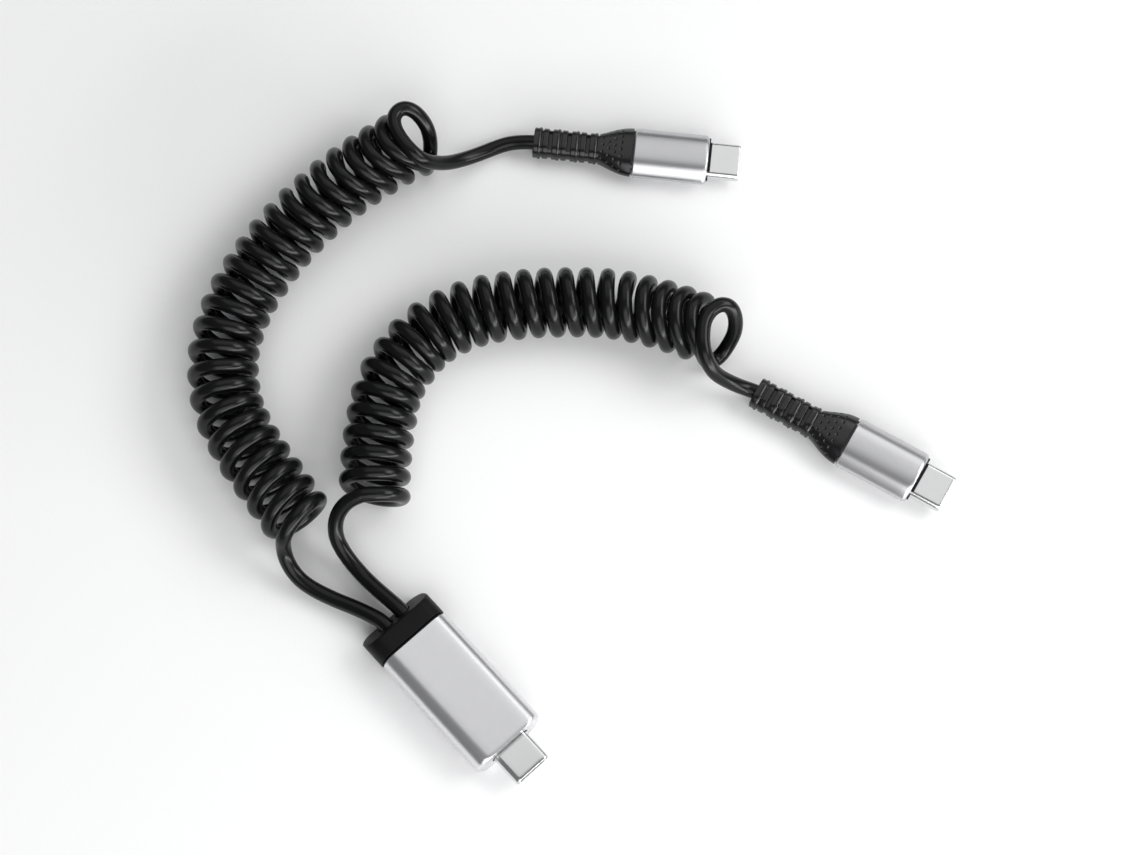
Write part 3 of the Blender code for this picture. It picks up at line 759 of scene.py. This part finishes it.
# The two coiled cords.
# Each is one round cable, about 0.95 m long, in a black elastomer jacket. It is wound hot on
# a rod, so it springs back into 23 close turns; a last open turn stands on the far end.
coil_diameter = 14.4 * mm
turn_radius = (coil_diameter - cord_diameter) / 2
cords = {
    "cord_a": {
        "plug": "plug_a", "side": -1, "first_angle": 35, "last_angle": 180, "turns": 23,
        "crowding": 0.06, "swell": 0.6,
        "slant": (-0.9, 0.0, 0.35, 0.75, 0.8, 0.75, 0.75, 0.6, 0.4),
        "lean": (0.0, 0.0, 0.5, 1.0, 1.2, 1.8, 2.6, 3.4, 4.6),
        "axis": ((-45.4, -1.3), (-57.0, 0.0), (-66.0, 1.2), (-75.6, 4.1), (-84.6, 10.7),
                 (-90.7, 19.7), (-94.2, 29.3), (-96.2, 38.5), (-97.0, 48.0), (-96.8, 56.5),
                 (-95.6, 65.8), (-94.9, 69.8)),
        "lead": ((-44.7, -7.0, 7.2), (-43.2, -7.9, 5.2), (-40.9, -8.4, 3.6), (-38.2, -8.3, 2.6),
                 (-35.0, -7.4, 2.1), (-30.7, -5.7, 2.2), (-26.2, -3.8, 3.0)),
        "tail": ((-89.0, 68.7, 5.4), (-89.3, 69.1, 3.7), (-90.0, 70.0, 2.5), (-91.0, 71.3, 2.0),
                 (-92.0, 72.5, 2.4), (-92.7, 73.3, 3.6), (-93.2, 73.8, 5.1), (-93.8, 74.1, 6.8),
                 (-94.5, 74.4, 8.3), (-95.8, 74.4, 9.8), (-97.2, 74.2, 11.2), (-98.4, 73.6, 12.2),
                 (-99.4, 72.9, 12.8), (-99.9, 71.6, 12.9), (-99.6, 70.0, 12.9), (-98.4, 68.6, 12.9),
                 (-96.6, 67.8, 12.9), (-94.4, 67.3, 12.9), (-92.2, 67.1, 12.8), (-90.3, 67.2, 12.4),
                 (-88.9, 67.7, 11.4), (-88.0, 68.8, 9.9), (-87.4, 70.4, 8.0), (-86.8, 72.2, 6.3),
                 (-86.4, 74.0, 4.9), (-85.8, 77.0, 3.3), (-84.9, 80.6, 2.3), (-84.0, 83.9, 1.9),
                 (-82.6, 86.8, 2.2))},
    "cord_b": {
        "plug": "plug_b", "side": 1, "first_angle": 75, "last_angle": 180, "turns": 23,
        "crowding": 0.05, "swell": 0.1,
        "slant": (0.4, 1.0, 1.1, 1.0, 0.5, -0.2, -0.1, -0.3, -0.6),
        "lean": (0.8, 0.8, 0.8, 0.8, 0.5, 0.3, 0.5, 1.9, 3.5),
        "axis": ((-40.0, 12.6), (-46.0, 18.2), (-52.0, 24.8), (-57.0, 32.2), (-59.4, 43.2),
                 (-57.1, 53.4), (-52.1, 61.8), (-46.0, 69.3), (-39.1, 76.3), (-31.0, 81.9),
                 (-21.4, 86.9)),
        "lead": ((-41.6, 9.2, 12.1), (-42.2, 7.0, 10.8), (-42.0, 4.9, 9.0), (-41.0, 3.2, 7.0),
                 (-39.3, 2.1, 5.2), (-36.9, 1.6, 3.8), (-34.1, 1.4, 2.8), (-30.7, 1.4, 2.4),
                 (-26.7, 1.6, 2.9)),
        "tail": ((-18.1, 82.4, 5.3), (-17.7, 82.9, 3.6), (-17.3, 84.0, 2.5), (-17.2, 85.5, 2.2),
                 (-17.3, 87.2, 2.7), (-17.6, 88.8, 4.0), (-17.9, 90.4, 6.0), (-18.8, 91.6, 8.2),
                 (-20.0, 92.2, 10.2), (-21.4, 92.2, 11.8), (-22.6, 91.2, 12.7), (-23.1, 89.4, 12.9),
                 (-23.0, 87.2, 12.9), (-21.9, 85.1, 12.9), (-20.3, 83.3, 12.9), (-18.8, 81.9, 12.7),
                 (-17.4, 81.1, 12.2), (-16.1, 80.7, 11.2), (-14.7, 80.6, 9.7), (-13.2, 81.1, 7.9),
                 (-11.6, 82.3, 6.0), (-9.9, 83.6, 4.4), (-8.2, 84.9, 3.2))},
}
cap_mouth_x = -20.085
cap_mouth_z = 3.75
plug_mouth_z = 3.0
point_spacing = 0.6


def bent_through(points, steps):
    """Points along the smooth curve that passes through the given ones."""
    points = [np.array(point, float) for point in points]
    guided = [2 * points[0] - points[1], *points, 2 * points[-1] - points[-2]]
    line = []
    for a, b, c, d in zip(guided, guided[1:], guided[2:], guided[3:]):
        for step in range(steps):
            t = step / steps
            line.append((2 * b + (c - a) * t + (2 * a - 5 * b + 4 * c - d) * t ** 2
                         + (3 * b - a - 3 * c + d) * t ** 3) / 2)
    return np.array(line + [points[-1]])


def spaced(line, spacing):
    """The same line with its points evenly apart."""
    run = np.concatenate(([0.0], np.cumsum(np.linalg.norm(np.diff(line, axis=0), axis=1))))
    marks = np.linspace(0.0, run[-1], max(2, round(run[-1] / spacing)) + 1)
    return np.stack([np.interp(marks, run, line[:, axis]) for axis in range(3)], axis=1)


def relaxed(line, passes):
    """The line with its small kinks eased out, its ends held."""
    for _ in range(passes):
        line[2:-2] = (line[1:-3] + 2 * line[2:-2] + line[3:-1]) / 4
    return line


def wound(cord):
    """Middle line of the coiled stretch, in mm: a right-handed turn carried along a bent axis.

    The turns are not quite square to the axis: slant shifts their sides along it and lean
    draws their tops back.
    """
    middle = coil_diameter / mm / 2
    axis = spaced(bent_through([(x, y, middle) for x, y in cord["axis"]], 20), 0.5)
    run = np.concatenate(([0.0], np.cumsum(np.linalg.norm(np.diff(axis, axis=0), axis=1))))
    total = cord["turns"] + (cord["last_angle"] - cord["first_angle"]) / 360
    share = np.linspace(0.0, 1.0, int(total * 36) + 1)
    reached = run[-1] * (share + cord["crowding"] * share * (1 - share))
    way = np.gradient(axis, axis=0)
    centre = np.stack([np.interp(reached, run, axis[:, k]) for k in range(3)], axis=1)
    ahead = np.stack([np.interp(reached, run, way[:, k]) for k in range(3)], axis=1)
    ahead /= np.linalg.norm(ahead, axis=1)[:, None]
    upward = np.array([0.0, 0.0, 1.0])
    outward = np.cross(upward, ahead)
    angle = math.radians(cord["first_angle"]) + share * total * 2 * math.pi
    marks = np.linspace(0.0, 1.0, len(cord["lean"]))
    along = (np.interp(share, marks, cord["slant"]) * np.cos(angle)
             - np.interp(share, marks, cord["lean"]) * np.maximum(np.sin(angle), 0.0) ** 1.5)
    sideways = (turn_radius / mm + cord["swell"] * share ** 2) * np.cos(angle)
    return (centre + sideways[:, None] * outward
            + turn_radius / mm * np.sin(angle)[:, None] * upward + along[:, None] * ahead)


def middle_line(cord):
    """Middle line of a whole cord in metres, from the splitter's cap to its plug."""
    coil = wound(cord)
    across = cord["side"] * cord_spacing / mm / 2
    cap_end = [(cap_mouth_x + 1.6, across, cap_mouth_z), (cap_mouth_x - 1.0, across, cap_mouth_z)]
    plug = plugs[cord["plug"]]
    ahead = np.array([math.cos(plug["heading"]), math.sin(plug["heading"]), 0.0])
    mouth = np.array([*plug["start"], plug_mouth_z])
    lead = bent_through([*cap_end, *cord["lead"][::-1], coil[0], coil[3]], 12)[:-12]
    tail = bent_through(
        [coil[-4], coil[-1], *cord["tail"], mouth - ahead, mouth + 0.7 * ahead], 12)[12:]
    lead = relaxed(spaced(lead, point_spacing), 6)
    tail = relaxed(spaced(tail, point_spacing), 8)
    return np.vstack([lead[:-1], coil, tail[1:]]) * mm


jacket = Finish("black_elastomer_jacket", {"Specular IOR Level": 0.24})
jacket_fine = jacket.grain(0.12 * mm, 3.0)
jacket_broad = jacket.grain(6.0 * mm, 2.0)
jacket.set("Base Color", jacket.tint(
    jacket_broad, (0.0028, 0.0029, 0.0031), (0.0048, 0.0050, 0.0053)))
jacket.set("Roughness", 0.19 + 0.05 * jacket_fine + 0.05 * jacket_broad)
jacket.raise_by(jacket_fine, 0.004 * mm)

extruder = Jig("cord_jacket", {"Diameter": cord_diameter, "Sides": 20})
core_line = extruder.add("GeometryNodeMeshToCurve", {}, {"Mesh": extruder.base})
die = extruder.add("GeometryNodeCurvePrimitiveCircle", {}, {
    "Resolution": extruder.size("Sides"), "Radius": extruder.size("Diameter") / 2})
cover = extruder.add("GeometryNodeCurveToMesh", {}, {
    "Curve": core_line, "Profile Curve": die, "Fill Caps": True})
extruder.close(cover, jacket)

for name, cord in cords.items():
    line = middle_line(cord)
    base = wire("line", [tuple(point) for point in line])
    covered = finished(name + "_jacket", extruder.make(base), jacket, Matrix.Identity(4),
                       "cord_jacket", name + "_lead", name + "_coil", name + "_tail", angle=60)
    plug = cord["plug"]
